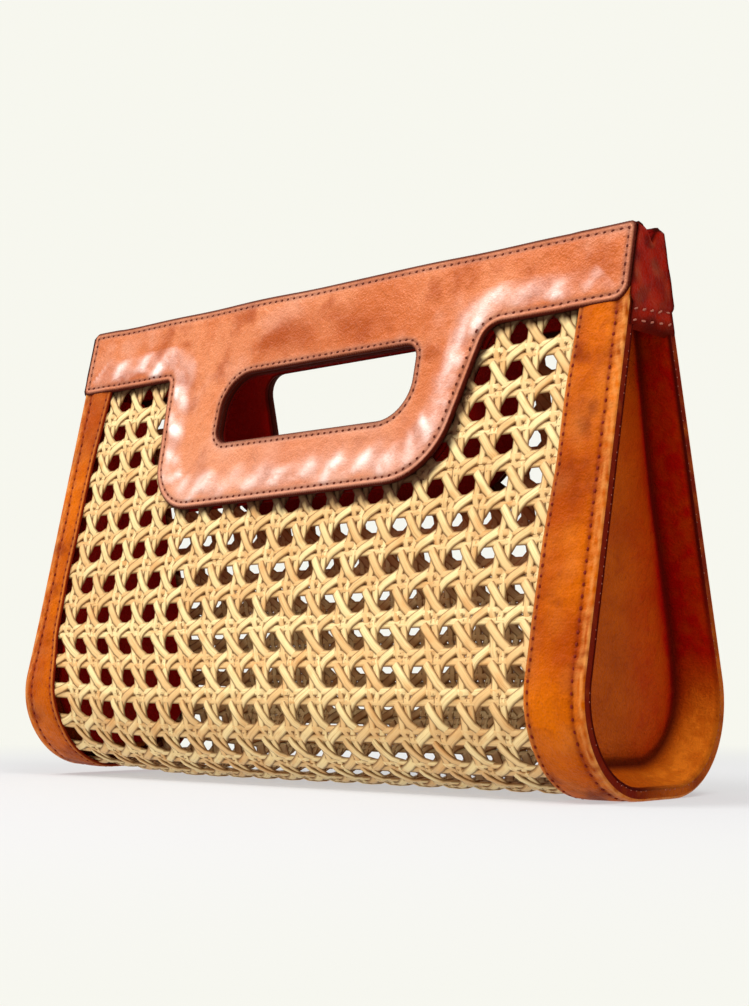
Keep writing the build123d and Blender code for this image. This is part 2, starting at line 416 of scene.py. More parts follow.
# %% Sizes of the yoke
ARM_DEPTH = 27.7
DROP_LEFT_DEPTH = 83.0
DROP_RIGHT_DEPTH = 80.8
DROP_LEFT_TOP = 81.3
DROP_LEFT_FOOT = 77.5
DROP_RIGHT_TOP = 78.8
DROP_RIGHT_FOOT = 62.4
ARM_BEND = 2.5
ARM_LOW_BEND = 6.0
NOTCH_RIGHT_BEND = 8.0
DROP_RIGHT_BEND = 28.0
DROP_LEFT_BEND = 21.0
NOTCH_LEFT_BEND = 1.5
LEAST_BEND = 0.3
GRIP_DEPTH = 30.2
HOLE_HEIGHT = 27.2
HOLE_LEFT = 47.5
HOLE_RIGHT = 48.7
HOLE_WIDE_BEND = 14.0
HOLE_TIGHT_BEND = 5.5
BACK_HOLE_HIGHER = 4.0
BACK_HOLE_WIDER = 3.0
BACK_HOLE_TIGHTER = 5.0
OUTLINE_STEP = 1.1

# %% [markdown]
# A rounded corner is an arc between two straight stretches. The arcs are worked out from the corner
# points, and the whole line is then cut into even steps, so that stitches and triangles along it come
# out even too.


# %% Draw rounded outlines
ARC_POINTS = 14


def evenly(line, step):
    """The same closed line with points about step apart."""
    closed = np.vstack([line, line[:1]])
    length = np.concatenate([[0], np.cumsum(np.linalg.norm(np.diff(closed, axis=0), axis=1))])
    at = np.linspace(0, length[-1], int(round(length[-1] / step)), endpoint=False)
    return np.stack([np.interp(at, length, closed[:, k]) for k in (0, 1)], -1)


def rounded_loop(points, bends, step):
    """A closed outline through corner points, rounded by the bends, with points about step apart."""
    points = [np.array(p, float) for p in points]
    line = []
    for i, corner in enumerate(points):
        before = points[i - 1] - corner
        after = points[(i + 1) % len(points)] - corner
        before /= np.linalg.norm(before)
        after /= np.linalg.norm(after)
        half = math.acos(np.clip(before @ after, -1, 1)) / 2
        middle = (before + after) / np.linalg.norm(before + after)
        centre = corner + middle * bends[i] / math.sin(half)
        start = corner + before * bends[i] / math.tan(half) - centre
        end = corner + after * bends[i] / math.tan(half) - centre
        turn = math.atan2(start[0] * end[1] - start[1] * end[0], start @ end)
        for t in np.linspace(0, turn, ARC_POINTS):
            c, s = math.cos(t), math.sin(t)
            line.append(centre + np.array([start[0] * c - start[1] * s, start[0] * s + start[1] * c]))
    return evenly(np.array(line), step)


def yoke_corners(lap, rim):
    """Corners of the yoke's pattern, its lower edge drawn in by lap, its ends and top by rim."""
    end = HALF_WIDTH - rim
    arm = lap - ARM_DEPTH
    return [
        (-end, -rim),
        (end, -rim),
        (end, arm),
        (DROP_RIGHT_TOP - lap, arm),
        (DROP_RIGHT_FOOT - lap, lap - DROP_RIGHT_DEPTH),
        (lap - DROP_LEFT_FOOT, lap - DROP_LEFT_DEPTH),
        (lap - DROP_LEFT_TOP, arm),
        (-end, arm),
    ]


def yoke_line(inset, step):
    """The yoke's outline in (x, minus the distance below the top edge), drawn in by inset."""
    corner = max(LEAST_BEND, ARM_BEND - inset)
    low_corner = max(LEAST_BEND, ARM_LOW_BEND - inset)
    notch_right = NOTCH_RIGHT_BEND + inset
    drop_right = DROP_RIGHT_BEND - inset
    drop_left = DROP_LEFT_BEND - inset
    notch_left = NOTCH_LEFT_BEND + inset
    bends = [corner, corner, low_corner, notch_right, drop_right, drop_left, notch_left, corner]
    return rounded_loop(yoke_corners(inset, inset), bends, step)


def hole_line(inset, step, side=1):
    """The hand hole's outline, grown by inset. The back one, side -1, is cut a little larger."""
    larger = side < 0
    top = inset - GRIP_DEPTH + BACK_HOLE_HIGHER * larger
    foot = -GRIP_DEPTH - HOLE_HEIGHT - inset
    left = -HOLE_LEFT - inset - BACK_HOLE_WIDER * larger
    right = HOLE_RIGHT + inset
    corners = [(left, top), (right, top), (right, foot), (left, foot)]
    wide = HOLE_WIDE_BEND + inset
    tight = HOLE_TIGHT_BEND + inset
    return rounded_loop(corners, [wide - BACK_HOLE_TIGHTER * larger, tight, wide, tight], step)


# %% [markdown]
# What lies near an edge, such as a seam or a lump, is placed by its distance from the outline. These
# helpers measure that distance, the way along the outline, and whether a point is inside it.


# %% Measure against outlines
BATCH = 1500


def along_and_off(points, loop):
    """Place along a closed line of evenly spaced points, and distance from it, for each point."""
    ahead = np.roll(loop, -1, axis=0) - loop
    spacing = np.linalg.norm(ahead[0])
    along = np.zeros(len(points))
    off = np.zeros(len(points))
    for start in range(0, len(points), BATCH):
        p = points[start : start + BATCH, None, :]
        t = np.clip(((p - loop) * ahead).sum(-1) / (ahead * ahead).sum(-1), 0, 1)
        gap = np.linalg.norm(p - loop - t[..., None] * ahead, axis=-1)
        best = gap.argmin(1)
        rows = np.arange(len(best))
        off[start : start + BATCH] = gap[rows, best]
        along[start : start + BATCH] = (best + t[rows, best]) * spacing
    return along, off


def distance_to(points, loop):
    """Distance from each point to a closed line."""
    return along_and_off(points, loop)[1]


def inside_of(points, loop):
    """True for points inside a closed line, by counting crossings."""
    x, y = points[:, 0], points[:, 1]
    count = np.zeros(len(points), int)
    for (ax, ay), (bx, by) in zip(loop, np.roll(loop, -1, axis=0)):
        if ay != by:
            crosses = (ay > y) != (by > y)
            count += crosses & (x < (bx - ax) * (y - ay) / (by - ay) + ax)
    return count % 2 == 1


outer_loop = yoke_line(0, OUTLINE_STEP)
hole_loops = {side: hole_line(0, OUTLINE_STEP, side) for side in (1, -1)}
print("yoke outline", len(outer_loop), "points, hand hole", len(hole_loops[1]), "points")

# %% [markdown]
# ## The weave
# Half-inch cane mesh has pairs of uprights and pairs of level strands, plain-woven where they cross,
# and single diagonals both ways that pass midway between the crossings, so that eight-sided holes stay
# open. Each strand is a real ribbon with a convex section that rises and dips over its neighbours.
# A picture of the weave would go flat in a side view, so every strand is modelled.

# %% Sizes of the weave
COLUMN_PITCH = 13.37
ROW_PITCH = 12.79
FIRST_HOLE_X = -122.56
TOP_HOLE_RUN = 176.89
FIRST_UPRIGHT = FIRST_HOLE_X - 1.5 * COLUMN_PITCH
FIRST_LEVEL = TOP_HOLE_RUN - ROW_PITCH / 2
PAIR_HALF = 1.62
PAIR_WIDTH = 3.18
DIAGONAL_WIDTH = 3.6
STRAND_THICK = 0.95
CANE_LAP = 12.0

sheet_half = HALF_WIDTH - BORDER_LEATHER
sheet_top = top_run(CANE_MIDDLE) - ARM_DEPTH + CANE_LAP
drop_top = top_run(CANE_MIDDLE) - DROP_RIGHT_DEPTH + CANE_LAP


def on_webbing(x, run):
    """True where the sheet of webbing is: it ends under the yokes."""
    far = np.abs(run)
    drop = (x > CANE_LAP - DROP_LEFT_FOOT) & (x < DROP_RIGHT_FOOT - CANE_LAP)
    return (np.abs(x) < sheet_half) & (far < np.where(drop, drop_top, sheet_top))


print("webbing", round(2 * sheet_half, 1), "mm wide and", round(2 * sheet_top, 1), "mm long when flat")

# %% [markdown]
# No sheet is pulled quite straight over a bag. Near the foot the mesh leans aside, towards the top it
# tilts a little, and at the back it sits off from the front, so that only some holes can be looked
# through. All this is a slip of the flat sheet, made before it is bent. The ends are held by the
# borders, where the slip fades out and the strands lie flatter.

# %% Slip of the mesh
FRONT_TILT = 0.005
FOOT_SLIP = 7.1
FOOT_SLIP_SLOPE = 0.027
FOOT_RUNS = (54.0, 84.0)
WAIST_SLIP = 1.5
WAIST_RUN = 96.0
WAIST_HALF = 16.0
BACK_SLIP_X = 9.36
BACK_SLIP_RUN = -4.48
BACK_RUNS = (-15.0, 45.0)
LOW_SLIP = 4.5
LOW_RUN = -48.0
LOW_HALF = 26.0
HELD_EDGE = 16.0
PINCH = 0.6
PINCH_EDGE = (-1.0, 3.0)


def slipped(x, run):
    """Where a place on the straight mesh really lies on the sheet."""
    front = smooth(run, *FOOT_RUNS)
    back = smooth(-run, *BACK_RUNS)
    low = LOW_SLIP * hump(run - LOW_RUN, LOW_HALF)
    aside = (FOOT_SLIP - FOOT_SLIP_SLOPE * x) * (1 - front) * (1 - back)
    aside = aside + BACK_SLIP_X * back - WAIST_SLIP * hump(run - WAIST_RUN, WAIST_HALF) - low
    held = smooth(sheet_half - np.abs(x), 0, HELD_EDGE)
    return x + aside * held, run + FRONT_TILT * x * front + BACK_SLIP_RUN * back + low


def freedom(x):
    """How freely strands rise: 1 in the open, less where a border holds them flat."""
    right = smooth(x - HALF_WIDTH + RIGHT_BORDER, *PINCH_EDGE)
    left = smooth(-x - HALF_WIDTH + LEFT_BORDER, *PINCH_EDGE)
    return 1 - PINCH * (right + left)


def nearest(value, first, pitch):
    """Signed distance to the nearest line of a row of lines."""
    return (value - first + pitch / 2) % pitch - pitch / 2


# %% [markdown]
# ## Ribbons
# A strand is given by its path on the flat sheet and its rise. The ribbon's section is carried along
# the path, square to it, and bent round the bag with the sheet. Where a path leaves the sheet it is
# cut, so one function makes strands in all four directions.


# %% Strands as ribbons
SECTION = 8
INNER_FLATTER = 0.7
INNER_LIGHT = 0.8
INNER_LIGHT_RUNS = (-125.0, -70.0)
SHADE_RIGHT = 2.0
SHADE_DOWN = 2.2
SHADE_DEEPER = 2.6
DEEPER_ACROSS = (-50.0, 10.0)
DEEPER_BELOW = (50.0, 70.0)
SHADE_REACH = 6.0
SHADE_FADE = (-0.4, 1.4)


def under_edge(x, run):
    """How far a place on the webbing lies in the painted shadow below a yoke, from 0 to 1."""
    y = np.abs(run) - top_run(CANE_MIDDLE)
    down = SHADE_DOWN + SHADE_DEEPER * smooth(x, *DEEPER_ACROSS) * smooth(-y, *DEEPER_BELOW)
    place = np.stack([x - SHADE_RIGHT, y + down], -1)
    near = y > -DROP_LEFT_DEPTH - SHADE_REACH
    shade = np.zeros(len(place))
    if near.any():
        off = distance_to(place[near], outer_loop)
        off = np.where(inside_of(place[near], outer_loop), -off, off)
        shade[near] = 1 - smooth(off, *SHADE_FADE)
    return shade


def ribbon(x, run, rise, width, thick):
    """Points of a convex ribbon along one path, with its along and across values."""
    tx = np.gradient(x)
    tr = np.gradient(run)
    length = np.hypot(tx, tr)
    angle = np.arange(SECTION) * 2 * math.pi / SECTION + math.pi / SECTION
    side = np.cos(angle) * width / 2
    lift = np.sin(angle) * thick / 2
    lift = np.where(lift < 0, lift * INNER_FLATTER, lift)
    px = x[:, None] - (tr / length)[:, None] * side
    pr = run[:, None] + (tx / length)[:, None] * side
    points, _ = bent(px, pr, rise[:, None] + lift, CANE_MIDDLE)
    along = np.cumsum(length)[:, None] + np.zeros(SECTION)
    across = np.cos(angle) + np.zeros((len(x), 1))
    # The inner side gets painted shade, less low down at the back where light gets in.
    lit = INNER_LIGHT * smooth(-np.abs(run), *INNER_LIGHT_RUNS)
    inner = (np.sin(angle) < 0) * (1 - lit)[:, None]
    # Painted shadow below a yoke's lower edge.
    shade = under_edge(px.ravel(), pr.ravel())
    marks = {"along": along, "across": across, "inner": inner, "shade": shade}
    return points.reshape(-1, 3), {key: values.ravel() for key, values in marks.items()}


def strands_piece(name, paths, width, seed):
    """One mesh of many strands. Each path is (x, run, rise) sampled along the strand."""
    chance = random.Random(seed)
    points, faces, parts = [], [], []
    base = 0
    for x, run, rise in paths:
        x, run = slipped(*np.broadcast_arrays(x, run))
        inside = on_webbing(x, run)
        cuts = np.flatnonzero(np.diff(inside.astype(int))) + 1
        for part in np.split(np.arange(len(x)), cuts):
            if len(part) < 4 or not inside[part[0]]:
                continue
            free = rise[part] * freedom(x[part])
            wide = width * chance.uniform(0.92, 1.05)
            p, marks = ribbon(x[part], run[part], free, wide, STRAND_THICK)
            faces.append(base + grid_faces(len(part), SECTION, closed=True))
            points.append(p)
            marks["along"] = marks["along"] + chance.uniform(0, 900)
            marks["tone"] = np.full(len(p), chance.random())
            # Painted shade where the strand dips under.
            marks["sunk_shade"] = np.repeat(smooth(-free, 0.1, 0.9), SECTION)
            parts.append(marks)
            base += len(p)
    marks = {key: np.concatenate([part[key] for part in parts]) for key in parts[0]}
    piece = new_piece(name, np.concatenate(points), np.concatenate(faces), CANE, marks)
    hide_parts("cane_webbing")
    return piece


# %% [markdown]
# The two strands of a pair take turns: where one goes over the crossing pair, its partner goes under.
# A small wander along each strand keeps the mesh from looking machine-made.

# %% Uprights and level strands
CROSS_RISE = 0.48
CROSS_HALF = 1.25
STEPS_PER_PITCH = 7
STRAND_WANDER = 0.16
DIAGONAL_WANDER = 0.14
WANDER_SIZE = 30.0


def weave_rise(steps, first, pitch, which):
    """Rise of one strand of a pair along its way over and under the pairs that cross it."""
    away = nearest(steps, first, pitch)
    over = hump(away + which * PAIR_HALF, CROSS_HALF) - hump(away - which * PAIR_HALF, CROSS_HALF)
    return CROSS_RISE * over


def wander(steps, seed):
    """How far a strand strays aside along its way, from about -1 to 1."""
    return ripple(steps, steps * 0, WANDER_SIZE, seed)


run_steps = np.arange(-sheet_top, sheet_top + 1, ROW_PITCH / STEPS_PER_PITCH)
x_steps = np.arange(-sheet_half, sheet_half + 1, COLUMN_PITCH / STEPS_PER_PITCH)
uprights, levels = [], []
column_count = int(2 * HALF_WIDTH / COLUMN_PITCH) + 2
row_count = int(2 * sheet_top / ROW_PITCH) + 2
for i in range(column_count):
    for which in (-1, 1):
        x = FIRST_UPRIGHT + i * COLUMN_PITCH + which * PAIR_HALF
        x = x + STRAND_WANDER * wander(run_steps, 100 + i * 2 + which)
        uprights.append((x, run_steps, weave_rise(run_steps, FIRST_LEVEL, ROW_PITCH, which)))
for j in range(row_count):
    for which in (-1, 1):
        run = FIRST_LEVEL - j * ROW_PITCH + which * PAIR_HALF
        run = run + STRAND_WANDER * wander(x_steps, 300 + j * 2 + which)
        levels.append((x_steps, run, weave_rise(x_steps, FIRST_UPRIGHT, COLUMN_PITCH, which)))
strands_piece("cane_uprights", uprights, PAIR_WIDTH, 1)
strands_piece("cane_levels", levels, PAIR_WIDTH, 2)

# %% [markdown]
# The diagonals bow a little round each hole: steeper where they pass the uprights, flatter where they
# pass the level strands. One way goes over the level pairs and under the uprights, the other way does
# the opposite, which locks the sheet.

# %% Diagonals
SLOPE = ROW_PITCH / COLUMN_PITCH
DIAGONAL_RISE = 0.7
DIAGONAL_CREST = 1.6
DIAGONAL_BOW = 0.8
diagonal_steps = np.arange(-HALF_WIDTH, HALF_WIDTH, COLUMN_PITCH / STEPS_PER_PITCH)
phase = 2 * math.pi * (diagonal_steps - FIRST_UPRIGHT) / COLUMN_PITCH
for name, way in (("cane_diagonals_rising", 1), ("cane_diagonals_falling", -1)):
    paths = []
    reach = int((2 * sheet_top + 2 * HALF_WIDTH) / ROW_PITCH) + 2
    crest = np.tanh(-DIAGONAL_CREST * way * np.cos(phase)) / math.tanh(DIAGONAL_CREST)
    for k in range(-reach, reach):
        run = FIRST_LEVEL + (k + 0.5) * ROW_PITCH
        run = run + way * ((diagonal_steps - FIRST_UPRIGHT) * SLOPE + DIAGONAL_BOW * np.sin(phase))
        run = run + DIAGONAL_WANDER * wander(diagonal_steps, 600 + k + 200 * way)
        paths.append((diagonal_steps, run, DIAGONAL_RISE * crest))
    strands_piece(name, paths, DIAGONAL_WIDTH, 3 + way)

# %% [markdown]
# ## Leather yokes
# The yoke is thick leather over the webbing's edge. It has softly rounded edges, a groove along the
# stitches, and lumps along its lower edge where the uprights of the cane press through. The pattern is
# filled with triangles, denser near its edges, and each point is raised by what lies there. A plain
# extruded plate would look like plastic.

# %% Fill the yoke pattern
OUTER_SEAM = 2.5
HOLE_SEAM = 2.0
EDGE_ROUND = 0.9
EDGE_RINGS = (0.12, 0.4, 0.9, 1.5, 2.0, 2.5, 3.1, 3.9)
YOKE_THICK = BORDER_LEATHER + YOKE_PROUD
GRID_STEP = 1.4
GRID_CLEAR = 4.7


def fill_pattern(outer, hole, inner_points):
    """Triangles that fill an outline round a hole: points, faces and the edges of both lines."""
    edges = [(i, (i + 1) % len(outer)) for i in range(len(outer))]
    first = len(outer)
    edges += [(first + i, first + (i + 1) % len(hole)) for i in range(len(hole))]
    points = [Vector(p) for p in np.concatenate([outer, hole] + inner_points)]
    filled = geometry.delaunay_2d_cdt(points, edges, [], 1, 1e-6)
    flat = np.array([v[:] for v in filled[0]])
    faces = np.array([f[:] for f in filled[2]])
    middles = flat[faces].mean(1)
    faces = faces[inside_of(middles, outer) & ~inside_of(middles, hole)]
    print("pattern", len(flat), "points", len(faces), "triangles")
    return flat, faces, edges


def yoke_pattern(side):
    """The yoke's flat pattern, denser near its edges."""
    hole = hole_loops[side]
    rings = []
    for ring in EDGE_RINGS:
        rings.append(yoke_line(ring, OUTLINE_STEP))
        rings.append(hole_line(ring, OUTLINE_STEP, side))
    grid_x = np.arange(-HALF_WIDTH, HALF_WIDTH, GRID_STEP)
    grid_y = np.arange(-DROP_LEFT_DEPTH - 1, 0, GRID_STEP)
    grid = np.stack([axis.ravel() for axis in np.meshgrid(grid_x, grid_y)], -1)
    rim = np.minimum(distance_to(grid, outer_loop), distance_to(grid, hole))
    keep = (rim > GRID_CLEAR) & inside_of(grid, outer_loop) & ~inside_of(grid, hole)
    return fill_pattern(outer_loop, hole, rings + [grid[keep]])


def two_skins(name, face, back, faces, edges, material, marks):
    """A closed sheet between two skins with the same pattern."""
    count = len(face)
    skins = [tuple(f) for f in faces]
    skins += [tuple(v + count for v in f[::-1]) for f in faces]
    skins += [(a, a + count, b + count, b) for a, b in edges]
    marks = {key: np.tile(values, 2) for key, values in marks.items()}
    piece = new_piece(name, np.concatenate([face, back]), skins, material, marks)
    face_outward(piece)
    return piece


# %% [markdown]
# The yoke's face is a height over the webbing at each point of the pattern. It has a rounded cut edge, a
# groove along each seam, low waves, and lumps along the lower edges where the ends of the strands press
# through. The same measures give the marks that the leather's material reads: painted highlights on the
# lumps and in a stripe along the drop's right side, a pale pink painted sheen over the lower part of the
# drop, and painted shade between the lumps.

# %% Raise the yoke
LUMP_SLANT = 0.75
LUMP_MIDDLE = 8.0
LUMP_BAND = (2.8, 6.0, 9.0, 15.5)
LUMP_HALF = 3.1
PAINTED_HIGHLIGHT_HALF = 2.9
VALLEY_HALF = 4.0
LUMP_FORCES = 80
STRIPE_BAND = (52.0, 66.0, 84.0, 96.0)
STRIPE_OFF = 9.0
STRIPE_HALF = 3.4
GROOVE_HALF = 0.7
GROOVE_DEPTH = 0.3


def within(value, start, full, less, end):
    """1 between full and less, fading to 0 at start and at end."""
    return smooth(value, start, full) * (1 - smooth(value, less, end))


def cane_lumps(x, y, to_edge, along, seed):
    """Lumps of the strands' ends along the lower edges: height, painted highlight and painted shade
    values.
    """
    chance = random.Random(seed)
    slanted = along + LUMP_SLANT * (to_edge - LUMP_MIDDLE) + 1.2 * ripple(x, y, 12, seed + 7)
    away = nearest(slanted, 0, COLUMN_PITCH)
    force = np.array([chance.uniform(0.3, 1.2) for _ in range(LUMP_FORCES)])
    force = force[np.round((slanted - away) / COLUMN_PITCH).astype(int) % LUMP_FORCES]
    depth = to_edge + 1.6 * ripple(x, y, 9, seed + 8)
    band = within(depth, *LUMP_BAND)
    lump = 0.3 + 0.62 * force * hump(away, LUMP_HALF) + 0.22 * ripple(x, y, 6, seed)
    painted_highlight = 0.2 + force * hump(away, PAINTED_HIGHLIGHT_HALF) * (0.75 + 0.4 * ripple(x, y, 7, seed + 5))
    deep_dye_and_shade = (1 - hump(away, VALLEY_HALF)) * (0.3 + 0.6 * ripple(x, y, 11, seed + 6))
    return band * lump, band * np.clip(painted_highlight, 0, 1), band * np.clip(deep_dye_and_shade, 0, 1)


def yoke_relief(p, side, seed):
    """Height of the yoke's face above the webbing's face, and the marks of its leather."""
    x, y = p[:, 0], p[:, 1]
    along, to_outer = along_and_off(p, outer_loop)
    to_hole = distance_to(p, hole_loops[side])
    rim = np.minimum(to_outer, to_hole)
    low = (y < -9) & (to_outer < -y) & (np.abs(x) < HALF_WIDTH - to_outer - 0.01)
    right = smooth(x, HALF_WIDTH - RIGHT_BORDER - 5, HALF_WIDTH - RIGHT_BORDER + 1)
    left = smooth(-x, HALF_WIDTH - LEFT_BORDER - 5, HALF_WIDTH - LEFT_BORDER + 1)
    height = YOKE_THICK - 0.5 + 0.4 * (right + left)
    t = np.clip(rim / EDGE_ROUND, 0, 1)
    height -= EDGE_ROUND * 0.8 * (1 - np.sqrt(1 - (1 - t) ** 2))
    seam = np.maximum(hump(to_outer - OUTER_SEAM, GROOVE_HALF), hump(to_hole - HOLE_SEAM, GROOVE_HALF))
    height -= GROOVE_DEPTH * seam
    lump, painted_highlight, deep_dye_and_shade = cane_lumps(x, y, to_outer, along, seed)
    # A painted highlight stripe along the drop's right side.
    stripe = hump(to_outer - STRIPE_OFF - 1.5 * ripple(x, y, 12, seed + 9), STRIPE_HALF)
    painted_highlight = np.maximum(painted_highlight, 0.55 * within(x, *STRIPE_BAND) * stripe)
    press = low * (1 - 0.6 * (right + left))
    height += lump * press
    height += 0.22 * smooth(rim, 3, 9) * ripple(x, y, 26, seed + 1)
    height += 0.07 * smooth(rim, 3, 6) * ripple(x, y, 5, seed + 2)
    edge = np.maximum(1 - smooth(rim, 0.6, 1.25), 1 - smooth(-y, 0.7, 1.6))
    # Paler near the rim, part rubbed edge and part painted highlight, and a pale pink painted sheen over
    # the lower part of the drop.
    rub_and_painted_light = 0.35 * (1 - smooth(rim, 2.2, 4.5))
    rub_and_painted_light = rub_and_painted_light + 0.45 * smooth(-y, 45, 75) * (0.7 + 0.3 * smooth(x, -70, 0))
    grip = hump(x + 5, 36) * hump(y + 18, 9) * (0.75 + 0.5 * ripple(x, y, 12, seed + 3))
    # The grip is darker; the valleys between lumps get painted shade.
    deep_dye_and_shade = np.clip(grip, 0, 1) + deep_dye_and_shade * press
    return height, {"edge": edge, "seam": seam, "rub_and_painted_light": rub_and_painted_light, "painted_highlight": painted_highlight * press, "deep_dye_and_shade": deep_dye_and_shade}


def top_wave(x, y, side):
    """The top edge's hand-cut waviness."""
    near_top = smooth(y, -14, 0)
    wave = 0.35 * ripple(x, x * 0, 24, 60 + side)
    if side < 0:
        wave = wave + 1.0 * hump(x - 78, 34)
    return wave * near_top


def yoke_piece(name, side, seed):
    """The leather yoke of one side: side 1 is the front, -1 the back."""
    flat, faces, edges = yoke_pattern(side)
    height, marks = yoke_relief(flat, side, seed)
    x, y = flat[:, 0], flat[:, 1]
    run = side * (top_run(BORDER_LEATHER) + y + top_wave(x, y, side))
    face, _ = bent(x, run, height, BORDER_LEATHER)
    back, _ = bent(x, run, 0.02, BORDER_LEATHER)
    piece = two_skins(name + "_leather", face, back, faces, edges, YOKE_TAN, marks)
    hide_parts(name)
    return piece


YOKE_SIDES = (("front_yoke", 1, 21), ("back_yoke", -1, 41))
for name, side, seed in YOKE_SIDES:
    yoke_piece(name, side, seed)

# %% [markdown]
# ## Edge borders
# A border is a strip of leather round each end of the sheet, sewn down along both edges and turned in
# over the webbing's raw edge. Its section is drawn once, from the inner edge over the face to the end,
# and carried round the side outline. The hand-cut inner edge wanders, so its place is read from a short
# list of widths along the strip.

# %% Borders
BORDER_TUCK = 10.0
INNER_ROW = 1.7
OUTER_ROW = 4.3
OUTER_PITCH = 3.7
WIDTH_RUNS = (0, 40, 60, 80, 105, 130, 160, 185, 200)
RIGHT_CHANGES = (0, 0, 0.2, 0.6, 0.2, -1.2, -1.5, -2.8, -3)
LEFT_CHANGES = (4, 5.5, 3, -1, -2.2, -1.2, -0.4, 2, 3)
WIDTH_CHANGES = {1: RIGHT_CHANGES, -1: LEFT_CHANGES}
END_SHARES = np.array([0, 0.008, 0.02, 0.04, 0.065, 0.09, 0.115, 0.15])
TURNED_IN = (0.3, -0.6, -1.3, -2.0)
BORDER_STEPS = 480
ENDS = (("right", 1), ("left", -1))
border_reach = top_run(BORDER_LEATHER) - ARM_DEPTH - 1.5


def border_width(run, side):
    """Width of the border at a run. The front, with positive run, is the side that wanders."""
    base = RIGHT_BORDER if side > 0 else LEFT_BORDER
    change = np.interp(np.abs(run), WIDTH_RUNS, WIDTH_CHANGES[side])
    return base + change * smooth(run, -30, 20) + 0.25 * ripple(run, run * 0, 18, 90 + side)


def border_section(share, width):
    """Rise of the border's face over the webbing, by its share of the width from the inner edge."""
    inner = share * width
    outer = (1 - share) * width
    rise = BORDER_LEATHER * np.sqrt(1 - (1 - np.clip(inner / 0.8, 0, 1)) ** 2)
    rise = rise - 0.7 * (1 - np.sqrt(1 - (1 - np.clip(outer / 0.9, 0, 1)) ** 2))
    seam = np.maximum(hump(inner - INNER_ROW, 0.6), hump(outer - OUTER_ROW, 0.8))
    puff = within(inner, 2, 6, width - 7, width - 4)
    return rise - 0.22 * seam + 0.28 * puff, inner, outer, seam


def rim_fade(y, z):
    """How much the dark rim is lightened: low down at the back, from 0 to 1."""
    return 0.6 * smooth(y, -14, 8) * (1 - smooth(z, 30, 80))


def border_wrinkles(inner, outer, run, face, side):
    """Waves of the face, wrinkles of the rolled rim and the pucker at each stitch, as a rise."""
    waves = face * (0.16 * ripple(inner, run, 9, 70 + side) + 0.06 * ripple(inner, run, 3.5, 75 + side))
    wrinkles = 0.11 * within(outer, 0.3, 1.5, 3, 6) * ripple(run, outer, 2.2, 78 + side)
    pucker = np.cos(2 * math.pi * (run + border_reach) / OUTER_PITCH)
    return waves + wrinkles - 0.16 * pucker * hump(outer - OUTER_ROW + 0.6, 1.7)


def border_rub_and_highlight(inner, outer, run, face, side):
    """Where the colour is paler: the wrinkled rim, rubbed and with a painted highlight, the inner edge
    and faint patches.
    """
    wrinkle = np.clip(0.55 + 0.6 * ripple(run, outer * 2, 2.4, 77 + side), 0, 1)
    rub_and_painted_light = 0.95 * wrinkle * (1 - smooth(outer, 0.8, 4.4)) + 0.4 * (1 - smooth(inner, 1.2, 2.8))
    return rub_and_painted_light + 0.12 * face * ripple(inner, run, 7, 72 + side)


def border_piece(name, side):
    """A border strip: side 1 is the right end, -1 the left."""
    shares = [[0], END_SHARES, np.linspace(0.19, 0.78, 16), 1 - END_SHARES[::-1] * 1.25, [1]]
    shares = np.unique(np.clip(np.concatenate(shares), 0, 1))
    reach = top_run(BORDER_LEATHER) - ARM_DEPTH + BORDER_TUCK
    runs = np.linspace(-reach, reach, BORDER_STEPS)
    share, run = np.meshgrid(shares, runs)
    width = border_width(run, side)
    rise, inner, outer, seam = border_section(share, width)
    face = smooth(inner, 0.6, 3.0) * smooth(outer, 0.6, 3.0)
    rise = rise + border_wrinkles(inner, outer, run, face, side)
    rise = np.minimum(rise, BORDER_LEATHER + smooth(np.abs(run), 8, 26))
    wall = np.tile(TURNED_IN, (len(runs), 1))
    x = np.concatenate([HALF_WIDTH - outer, np.full(wall.shape, HALF_WIDTH)], 1)
    rise = np.concatenate([np.maximum(rise, 0), wall], 1)
    first_run = np.broadcast_to(runs[:, None], x.shape)
    points, _ = bent(side * x, first_run, rise, BORDER_LEATHER)
    blank = np.zeros(wall.shape)
    dark_rim = 1 - rim_fade(points[:, len(shares) :, 1], points[:, len(shares) :, 2])
    dark_rim = dark_rim * np.clip(1.0 + 0.2 * ripple(first_run[:, len(shares) :], wall, 4, 79), 0, 1)
    edge = np.concatenate([1 - smooth(inner, 0.1, 0.5), dark_rim], 1)
    seam = np.concatenate([seam, blank], 1)
    rub_and_painted_light = np.concatenate([border_rub_and_highlight(inner, outer, run, face, side), blank], 1)
    faces = grid_faces(*x.shape)
    marks = {"edge": edge, "seam": seam, "rub_and_painted_light": rub_and_painted_light}
    piece = new_piece(name + "_leather", points.reshape(-1, 3), faces, BORDER_TAN, marks)
    if side < 0:
        piece.data.flip_normals()
    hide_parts(name)
    return piece


for end, side in ENDS:
    border_piece(end + "_edge_border", side)

# %% [markdown]
# ## End trays
# Each end is closed by a leather tray set in from the edge. Its rim lies inside the webbing, runs in as
# a flange and meets the panel in a tight crease. The panel bellies out a little. The flange's sides and
# the back of the panel are painted a darker red as painted shade, the crease gets painted shade, and the
# low back of the flange gets painted light. It is drawn as rings of the side outline that step in from
# the rim to the middle. A second skin behind the panel is the dark flesh side that shows through the
# holes of the webbing.

# %% Gussets
GUSSET_RECESS = 13.5
gusset_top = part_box("right_gusset")[1].z / MM - 0.8
RING_POINTS = 260
PANEL_RINGS = 14
FOOT_LIFT = 5.5
BELLY = 1.8
FLESH_FROM = 10
FLESH_GAP = 1.0


